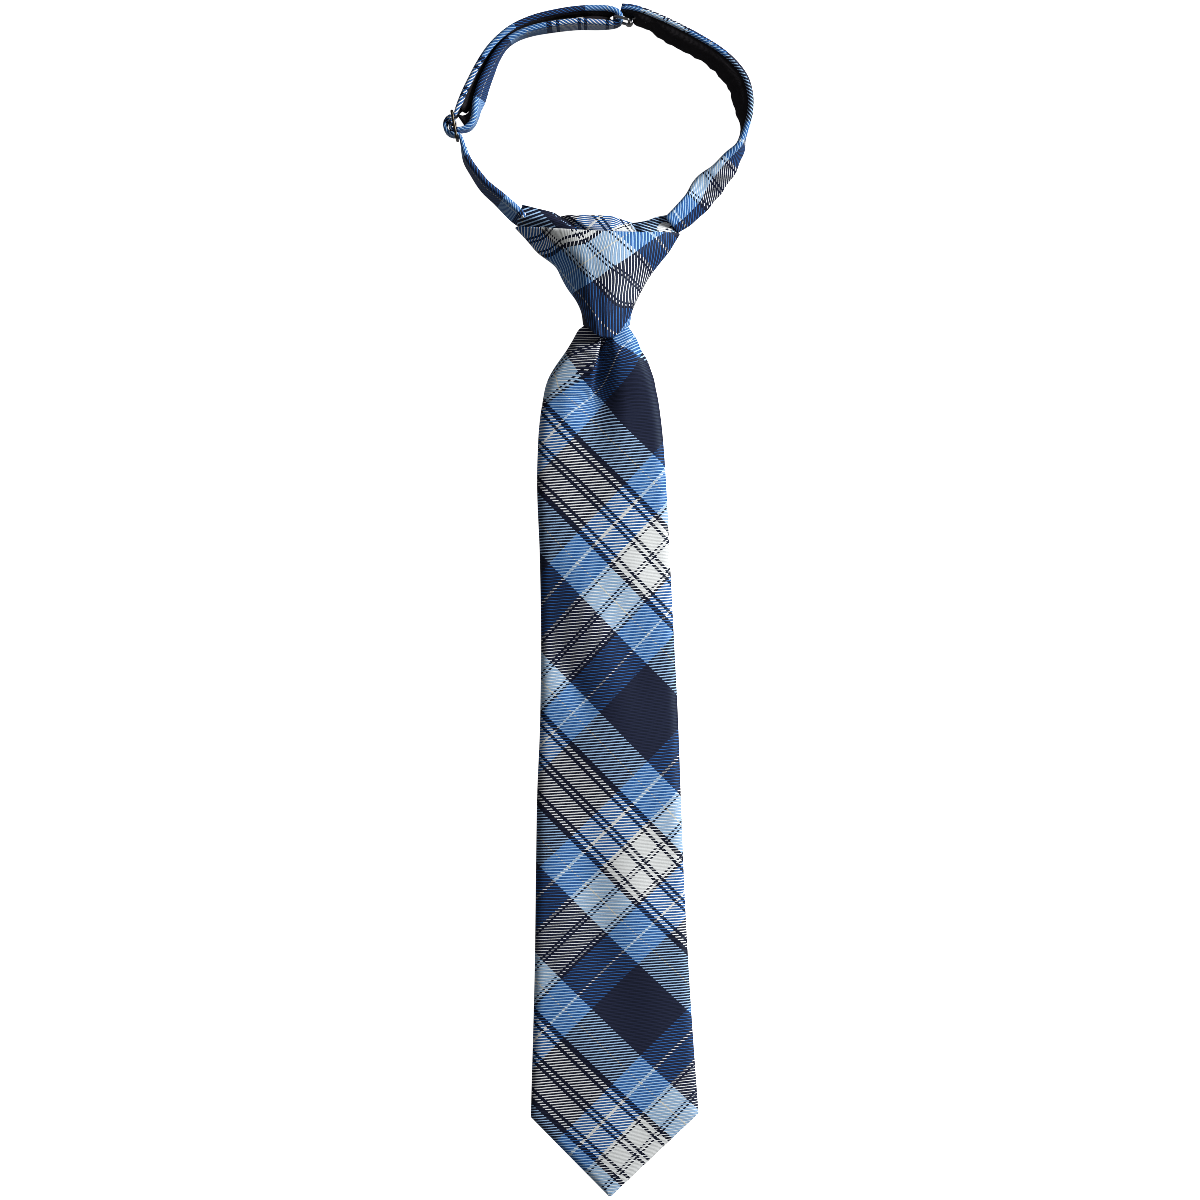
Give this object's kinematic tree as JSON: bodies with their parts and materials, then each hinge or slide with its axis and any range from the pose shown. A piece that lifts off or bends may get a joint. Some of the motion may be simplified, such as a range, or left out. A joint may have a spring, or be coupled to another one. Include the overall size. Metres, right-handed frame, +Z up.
{
  "type": "pre-tied necktie",
  "caption": "Pre-tied tartan necktie: folded blade with a pointed tip, a fixed knot, and a lined neck band with a slider and a hook and ring.",
  "frame": {"origin": "on the surface that the tie lies on, under the middle of its length and width", "axes": "+X to the right of the tie seen from its front, +Y from the tip up to the neck loop, +Z up out of the front of the blade"},
  "size_m": [0.1297, 0.4971, 0.0169],
  "materials": {
    "tartan_twill": "smooth twill with a soft sheen, woven in a blue, navy, black and white tartan",
    "black_lining": "matt plain weave",
    "dark_metal": "dark bronze enamel, satin",
    "bright_metal": "polished"
  },
  "bodies": {
    "root": {"blade": "tartan_twill", "knot_wrap": "tartan_twill", "knot_fold": "tartan_twill", "left_strap": "tartan_twill", "right_strap": "tartan_twill", "left_lining_1": "black_lining", "left_lining_2": "black_lining", "right_lining": "black_lining", "slider": "dark_metal", "ring": "bright_metal", "hook": "bright_metal"}
  },
  "joints": []
}
